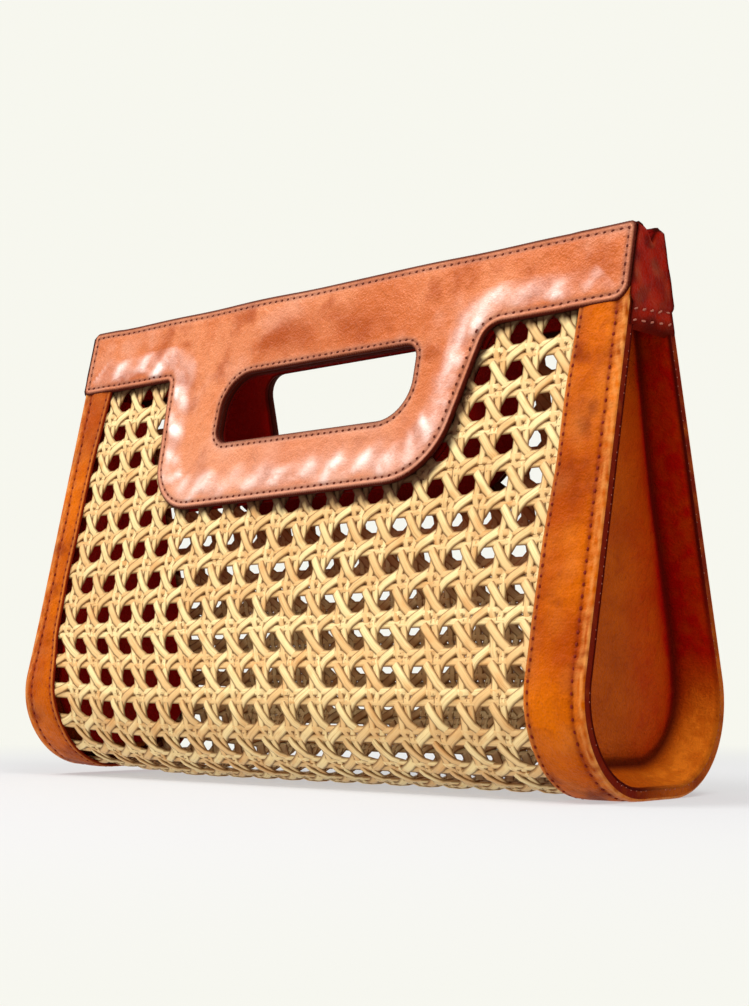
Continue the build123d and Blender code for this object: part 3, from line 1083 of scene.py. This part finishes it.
def side_ring(depth, top, x, lift):
    """The closed side outline at a depth, cut level at top and lifted at the foot."""
    reach = (top - BEND_RADIUS - (BEND_RADIUS - depth) * math.sin(LEAN)) / math.cos(LEAN)
    half = panel_run(depth) + reach
    run = np.linspace(-half, half, RING_POINTS)
    points, _ = bent(x, run, -lift * (1 - smooth(np.abs(run), 22, 80)), depth)
    return points


def recess(z):
    """How far the panel lies in from the end: a little less near the top."""
    return GUSSET_RECESS + 0.8 - 2.5 * smooth(z, gusset_top - 60, gusset_top)


def gusset_rings(side):
    """Rings from the rim along the flange, round the crease and over the panel, with edge values,
    painted shade at the crease and on the flange's sides, and painted light low at the back.
    """
    flange = [(0.0, 0.0), (-0.02, 0.5), (0.02, 0.95), (0.12, 1.0)]
    flange += [(t, 1.0 + 0.25 * math.sin(math.pi * t)) for t in np.linspace(0.25, 0.9, 7)]
    flange += [(0.97, 1.15), (1.0, 1.5), (0.985, 2.2)]
    rings, edges, shade, red, bright = [], [], [], [], []
    for into, inward in flange:
        lift = FOOT_LIFT * max(into, 0) ** 1.5
        ring = side_ring(LINING_DEPTH + inward, gusset_top - 0.3 * inward, side * HALF_WIDTH, lift)
        ring[:, 0] -= side * into * recess(ring[:, 2])
        rings.append(ring)
        dark_rim = (1 - smooth(into, 0.03, 0.12)) * (1 - rim_fade(ring[:, 1], ring[:, 2]))
        # The dark rim, and painted shade at the crease.
        edges.append(dark_rim + 0.75 * smooth(into, 0.93, 1.0))
        # Painted shade towards the crease.
        shade.append(np.full(RING_POINTS, float(smooth(into, 0.75, 1.0))))
        # Painted dark red shade higher up the flange's sides.
        red.append(1.1 * smooth(ring[:, 2], 12, 48))
        # Painted light on the low back of the flange.
        low_back = smooth(ring[:, 1], -14, 18) * (1 - smooth(ring[:, 2], 10, 50))
        bright.append(0.75 * low_back * (1 - smooth(into, 0.5, 0.95)))
    last = rings[-1]
    for t in np.linspace(0.06, 1, PANEL_RINGS):
        y = last[:, 1] * (1 - t)
        z = last[:, 2] * (1 - t) + np.clip(last[:, 2], 30, gusset_top - 4) * t
        belly = BELLY * math.sin(math.pi / 2 * min(1, 2.2 * t))
        belly = belly * (1 - smooth(z, gusset_top - 50, gusset_top - 15))
        x = side * (HALF_WIDTH - recess(z) + belly + 0.25 * ripple(y, z, 30, 8) * min(1, 3 * t))
        rings.append(np.column_stack([x, y, z]))
        # Painted shade near the crease, and painted dark red shade towards the crease and the back.
        edges.append(np.full(RING_POINTS, 0.6 - 0.6 * float(smooth(t, 0.05, 0.14))))
        shade.append(np.full(RING_POINTS, 1 - float(smooth(t, 0.0, 0.2))))
        red.append((0.75 - 0.75 * smooth(t, 0.0, 0.4)) * smooth(z, 8, 40) + 0.55 * smooth(y, -6, 16))
        bright.append(np.zeros(RING_POINTS))
    return rings, {"edge": edges, "seam": shade, "rub_and_painted_light": red, "painted_highlight": bright}


def gusset_piece(name, side):
    """The tray of one end, with its flesh side as a second skin behind the panel."""
    rings, marks = gusset_rings(side)
    faces = grid_faces(len(rings), RING_POINTS, closed=True)
    marks = {key: np.concatenate(values) for key, values in marks.items()}
    piece = new_piece(name + "_leather", np.concatenate(rings), faces, GUSSET_TAN, marks)
    inner = [ring - [side * FLESH_GAP, 0, 0] for ring in rings[FLESH_FROM:]]
    faces = grid_faces(len(inner), RING_POINTS, closed=True)
    skin = new_piece(name + "_flesh_side", np.concatenate(inner), faces, LINING_RED)
    (skin if side > 0 else piece).data.flip_normals()
    for made in (piece, skin):
        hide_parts(name)
    return piece


for end, side in ENDS:
    gusset_piece(end + "_gusset", side)

# %% [markdown]
# ## Top tabs
# At each end of the mouth a strip of dark leather joins the two sides above the tray. It lies over the
# ends of the boards and turns in at its lower edge.

# %% Tabs
TAB_ROWS = (2.8, 6.6)
TAB_TILT = 1.0
TAB_DIP = 4.5
tab_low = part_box("right_gusset")[1].z / MM - 7.0
tab_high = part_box("right_top_tab")[1].z / MM
arm_low = panel_foot + (PANEL_LENGTH - ARM_DEPTH) * math.cos(LEAN)


def side_half(depth, z):
    """Half the distance between front and back at a height on the straight panels."""
    return BEND_CENTRE + (BEND_RADIUS - depth - (z - BEND_RADIUS) * math.sin(LEAN)) / math.cos(LEAN)


def tab_place(share, z, side):
    """A point of the tab's face by its share from the middle to the front or back edge."""
    sink = 0.3 * (1 - share * share) * smooth(tab_high + 4 - z, 0, 12)
    depth = BORDER_LEATHER + 0.2 - (BORDER_LEATHER + 0.7) * smooth(z, arm_low - 0.5, arm_low + 1.5)
    turn_in = 2.0 * (1 - smooth(z, tab_low - 0.5, tab_low + 0.8))
    turn_in = turn_in + smooth(z, tab_high - 1.2, tab_high)
    x = side * (HALF_WIDTH + 0.6 - sink - turn_in + 0.12 * ripple(share * 8, z, 5, 31))
    return np.stack([x, share * side_half(depth, z), z + 0 * share], -1)


def tab_piece(name, side):
    """The tab of one end as a sheet with turned edges."""
    foot = [tab_low - 0.5, tab_low, tab_low + 0.6]
    head = [tab_high - 0.7, tab_high - 0.3, tab_high]
    heights = np.concatenate([foot, np.linspace(tab_low + 1.4, tab_high - 1.2, 26), head])
    share, z = np.meshgrid(np.linspace(-1, 1, 25), heights)
    dip = hump(share - 0.1, 0.3) * smooth(z, tab_high - 9, tab_high)
    points = tab_place(share, z, side)
    points[..., 2] -= TAB_DIP * dip
    edge = np.maximum(smooth(np.abs(share), 0.86, 0.98), smooth(z, tab_high - 1.5, tab_high - 0.3))
    # Painted shade at the lower end, where the tab turns in.
    edge = np.maximum(edge, 0.7 - 0.7 * smooth(z, tab_low + 0.5, tab_low + 6))
    seam = sum(hump(z - tab_low - row - TAB_TILT * share, 0.7) for row in TAB_ROWS)
    # Painted highlight streaks.
    painted_highlight = 0.22 * np.clip(ripple(share * 8, z, 4, 33), 0, 1) * (1 - edge)
    deep_dye_and_shade = np.clip(0.2 + ripple(share * 8, z, 3.5, 35), 0, 1)
    marks = {"edge": edge, "seam": seam * 0.5, "painted_highlight": painted_highlight, "deep_dye_and_shade": deep_dye_and_shade}
    piece = new_piece(name + "_leather", points.reshape(-1, 3), grid_faces(*z.shape), TAB_MAROON, marks)
    if side < 0:
        piece.data.flip_normals()
    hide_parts(name)
    return piece


for end, side in ENDS:
    tab_piece(end + "_top_tab", side)

# %% [markdown]
# ## Linings and boards
# Behind each yoke lie a board, in the layer of the webbing, and a thin leather lining. They are flat cut
# sheets round the same hole. Their cut edges are burnished dark, which shows in the hole and along the
# mouth, and their lower parts, seen through the webbing below a yoke, are painted dark as painted shade.

# %% Linings and boards
LAYERS = (
    ("lining", 0.0, LINING_DEPTH, INNER_DEPTH, LINING_RED, "lining_leather"),
    ("stiffener", CANE_LAP, BORDER_LEATHER, LINING_DEPTH, BOARD_BROWN, "stiffener_board"),
)
LAYER_RING = 0.8


def layer_piece(name, side, lap, outer, inner, material):
    """A flat sheet behind a yoke, between two depths. lap draws in its lower edge."""
    edge = outer_loop
    if lap:
        edge = evenly(np.array(yoke_corners(lap, 0), float), OUTLINE_STEP)
    hole = hole_loops[side]
    rings = [hole_line(LAYER_RING, OUTLINE_STEP, side)]
    if not lap:
        rings.append(yoke_line(LAYER_RING, OUTLINE_STEP))
    flat, faces, edges = fill_pattern(edge, hole, rings)
    rim = np.minimum(distance_to(flat, edge), distance_to(flat, hole))
    x = flat[:, 0]
    run = side * (top_run(BORDER_LEATHER) + flat[:, 1])
    face, _ = bent(x, run, BORDER_LEATHER - outer, BORDER_LEATHER)
    back, _ = bent(x, run, BORDER_LEATHER - inner, BORDER_LEATHER)
    # Burnished cut edges, and painted shade on the lower part.
    dark = np.maximum(0.8 - 0.8 * smooth(rim, 0.1, 0.7), 0.75 * smooth(-flat[:, 1], 56, 76))
    return two_skins(name, face, back, faces, edges, material, {"edge": dark})


for yoke, side, _ in YOKE_SIDES:
    for layer, lap, outer, inner, material, slot_name in LAYERS:
        node = yoke + "_" + layer
        piece = layer_piece(node + "_sheet", side, lap, outer, inner, material)
        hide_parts(node)

# %% [markdown]
# ## Stitches
# Every seam is sewn with dark thread in short stitches that sink into the leather, so each one shows as
# a small dark dot. One stitch is a small arched capsule. It is copied along each seam line, lying in the
# groove.

# %% Thread
STITCH_LENGTH = 1.35
STITCH_WIDTH = 0.9
STITCH_ARCH = 0.12


def thread_material(name, dark, light):
    def formula(s):
        fray = s.noise(s.place(), 2500.0, 2.0)
        return {"Base Color": fray.colour(tint(dark), tint(light)), "Roughness": 0.7 + fray * 0.2}

    return finish_of(name, {"Specular IOR Level": 0.2}, formula)


BROWN_THREAD = thread_material("brown_thread", "45160b", "6e2c1a")
MAROON_THREAD = thread_material("maroon_thread", "5a0d04", "852206")
PALE_THREAD = thread_material("rose_thread", "8c3c2c", "c07c68")


def stitch_shape():
    """One stitch lying along X, its middle raised, as points and faces."""
    rings, sides = 7, 6
    points = []
    for t in np.linspace(-1, 1, rings):
        size = math.sqrt(max(0.02, 1 - t**4)) * STITCH_WIDTH / 2
        lift = STITCH_ARCH * (1 - t * t)
        for k in range(sides):
            angle = 2 * math.pi * k / sides
            height = lift + math.sin(angle) * size * 0.5
            points.append((t * STITCH_LENGTH / 2, math.cos(angle) * size, height))
    faces = [tuple(f) for f in grid_faces(rings, sides, closed=True)]
    faces.append(tuple(range(sides))[::-1])
    faces.append(tuple((rings - 1) * sides + k for k in range(sides)))
    return np.array(points), faces


STITCH_POINTS, STITCH_FACES = stitch_shape()


def sew(name, places, thread, size=1.0, stretch=1.0):
    """One mesh of stitches. A place is (point, along, out): where, which way, the leather's outward."""
    chance = random.Random(len(places))
    points, faces = [], []
    for where, along, out in places:
        along = along / np.linalg.norm(along)
        side = np.cross(out, along)
        turn = chance.uniform(-0.05, 0.4)
        ahead = along * math.cos(turn) + side * math.sin(turn)
        side = side * math.cos(turn) - along * math.sin(turn)
        base = len(points) * len(STITCH_POINTS)
        p = STITCH_POINTS * size * [stretch * chance.uniform(0.8, 1.1), chance.uniform(0.85, 1.1), 1]
        points.append(where + p[:, :1] * ahead + p[:, 1:2] * side + p[:, 2:] * out)
        faces += [tuple(base + v for v in f) for f in STITCH_FACES]
    piece = new_piece(name, np.concatenate(points), faces, thread)
    return piece


# %% [markdown]
# The yoke's seams are closed lines of its flat pattern, one inside the outer edge and one round the hand
# hole. They are bent round the bag with the same height as the leather's face.

# %% Yoke stitches
OUTER_SEAM_PITCH = 3.2
HOLE_SEAM_PITCH = 3.0


def along_loop(loop, side, seed):
    """Stitch places on a yoke along a closed line of its pattern."""
    height, _ = yoke_relief(loop, side, seed)
    x, y = loop[:, 0], loop[:, 1]
    run = side * (top_run(BORDER_LEATHER) + y + top_wave(x, y, side))
    points, out = bent(x, run, height + 0.02, BORDER_LEATHER)
    ahead = np.roll(points, -1, axis=0) - np.roll(points, 1, axis=0)
    return list(zip(points, ahead, out))


for name, side, seed in YOKE_SIDES:
    places = along_loop(yoke_line(OUTER_SEAM, OUTER_SEAM_PITCH), side, seed)
    places += along_loop(hole_line(HOLE_SEAM, HOLE_SEAM_PITCH, side), side, seed)
    sew(name + "_stitches", places, BROWN_THREAD)

# %% [markdown]
# Two rows hold each border: one follows its wandering inner edge, the other runs level with the end.

# %% Border stitches
INNER_PITCH = 3.3
STITCH_RISE = BORDER_LEATHER - 0.18


def border_row(side, pitch, place):
    """Stitch places along a border. place gives x and rise from the width at each run."""
    runs = np.arange(-border_reach, border_reach, pitch)
    width = border_width(runs, side)
    x, rise = place(width)
    points, out = bent(side * x, runs, rise, BORDER_LEATHER)
    return list(zip(points, np.gradient(points, axis=0), out))


for end, side in ENDS:
    places = border_row(side, INNER_PITCH, lambda width: (HALF_WIDTH - width + INNER_ROW, STITCH_RISE))
    level_x = HALF_WIDTH - OUTER_ROW
    places += border_row(side, OUTER_PITCH, lambda width: (level_x + 0 * width, STITCH_RISE))
    sew(end + "_border_stitches", places, MAROON_THREAD)

# %% [markdown]
# Pale thread shows on the burnished edges at the ends, and in two rows across each tab.

# %% Pale stitches
EDGE_PITCH = 2.8
EDGE_SUNK = -1.9
EDGE_SHOWN = 0.6
TAB_STITCHES = 5

for end, side in ENDS:
    runs = np.arange(-border_reach, border_reach, EDGE_PITCH)
    points, _ = bent(side * (HALF_WIDTH + 0.02), runs, EDGE_SUNK, BORDER_LEATHER)
    out = np.tile([float(side), 0.0, 0.0], (len(points), 1))
    stray = np.stack([ripple(runs, 0 * runs, 1.5, k) for k in (5, 6, 7)], -1)
    points = points + 0.25 * stray * [0, 1, 1]
    places = list(zip(points, np.gradient(points, axis=0), out))
    places = random.Random(7).sample(places, int(EDGE_SHOWN * len(places)))
    sew(end + "_edge_stitches", places, PALE_THREAD, 0.4)
for end, side in ENDS:
    places = []
    for height in TAB_ROWS:
        share = np.linspace(-0.8, 0.8, TAB_STITCHES)
        points = tab_place(share, tab_low + height + TAB_TILT * share, side)
        out = np.tile([float(side), 0.0, 0.0], (TAB_STITCHES, 1))
        places += list(zip(points, np.gradient(points, axis=0), out))
    sew(end + "_tab_stitches", places, PALE_THREAD, 0.75, 2.6)

# %% [markdown]
# ## Stage
# The bag stands on a pale floor in a near-white surround. The surround is plain to the camera and in
# reflections, and a dimmer light source to everything else, brighter from the upper left. Far from the
# bag the floor shades into the surround, so no horizon shows, and near the bag it keeps the shadow.

# %% Floor and surround
SURROUND = (0.93, 0.93, 0.86, 1.0)
FLOOR_GLOW = (0.45, 0.45, 0.46, 1.0)
FLOOR_HALF = 9
BRIGHT_SKY = (-0.5, -0.35, 0.79)


def floor_formula(s):
    at = s.place()
    away = s.node("VectorMath", {"operation": "LENGTH"}, {0: at}, "Value")
    far = away.step(0.17, 0.5)
    return {
        "Base Color": far.colour(tint("9c9c9c"), (0.0, 0.0, 0.0, 1.0)),
        "Emission Color": far.colour(FLOOR_GLOW, SURROUND),
    }


floor_mesh = bpy.data.meshes.new("floor")
floor_corners = [(x * FLOOR_HALF, y * FLOOR_HALF, 0) for x, y in ((-1, -1), (1, -1), (1, 1), (-1, 1))]
floor_mesh.from_pydata(floor_corners, [], [(0, 1, 2, 3)])
floor = bpy.data.objects.new("floor", floor_mesh)
bpy.context.scene.collection.objects.link(floor)
floor_settings = {"Roughness": 0.9, "Specular IOR Level": 0.0, "Emission Strength": 1.0}
floor_mesh.materials.append(finish_of("white_floor", floor_settings, floor_formula))

world = bpy.data.worlds.new("white_surround")
bpy.context.scene.world = world
world.use_nodes = True
path = world.node_tree.nodes.new("ShaderNodeLightPath")
seen = Shade(world.node_tree, path.outputs["Is Camera Ray"])
for kind in ("Is Glossy Ray", "Is Transmission Ray"):
    seen = seen + Shade(world.node_tree, path.outputs[kind])
seen = seen.maths("MINIMUM", seen, 1.0)
sky = Shade(world.node_tree)
facing = {0: sky.node("TexCoord", output="Generated"), 1: BRIGHT_SKY}
facing = sky.node("VectorMath", {"operation": "DOT_PRODUCT"}, facing, "Value")
ambient = 0.12 + 0.5 * facing.step(-0.5, 0.9)
strength = seen + (1 - seen) * ambient
backdrop = world.node_tree.nodes["Background"]
backdrop.inputs["Color"].default_value = SURROUND
world.node_tree.links.new(strength.socket, backdrop.inputs["Strength"])
print("floor", 2 * FLOOR_HALF, "m wide, surround", SURROUND[:3])

# %% [markdown]
# Three soft lamps light the bag: the key high at the front left, a fill high at the right for the end,
# and a warm fill low in front. An area lamp shines along its own -Z, so each is turned until its -Z
# points at its aim.


# %% Lamps
def lamp(name, place, aim, size, power, tone=(1.0, 1.0, 1.0)):
    """A square soft lamp that looks at a point."""
    data = bpy.data.lights.new(name, "AREA")
    data.size = size
    data.energy = power
    data.color = tone
    made = bpy.data.objects.new(name, data)
    made.location = place
    made.rotation_euler = (Vector(aim) - Vector(place)).to_track_quat("-Z", "Y").to_euler()
    bpy.context.scene.collection.objects.link(made)
    print("lamp", name, power, "W")


lamp("key", (-0.42, -0.52, 1.05), (0, 0, 0.09), 0.45, 9.0)
lamp("end_fill", (0.62, -0.22, 0.95), (0.13, 0, 0.06), 0.5, 5.8)
lamp("low_fill", (0.05, -0.95, 0.1), (0, 0, 0.06), 0.5, 3.6, (1.0, 0.8, 0.6))

# %% [markdown]
# ## Camera
# The photograph was taken from low down at the front right, so verticals lean a little. The camera's
# place comes from a fit of the bag's corners to the photograph.

# %% Camera
CAMERA_PLACE = Vector((425.0, -455.4, 35.3)) * MM
CAMERA_AIM = Vector((16.4, 0.0, 101.0)) * MM
camera_data = bpy.data.cameras.new("camera")
camera_data.lens = 60.83
camera_data.sensor_width = 36.0
camera_data.clip_start = 0.01
camera = bpy.data.objects.new("camera", camera_data)
camera.location = CAMERA_PLACE
camera.rotation_euler = (CAMERA_AIM - CAMERA_PLACE).to_track_quat("-Z", "Y").to_euler()
bpy.context.scene.collection.objects.link(camera)
bpy.context.scene.camera = camera
bpy.context.scene.view_settings.view_transform = "Standard"
print("camera", round((CAMERA_AIM - CAMERA_PLACE).length, 3), "m from its aim")
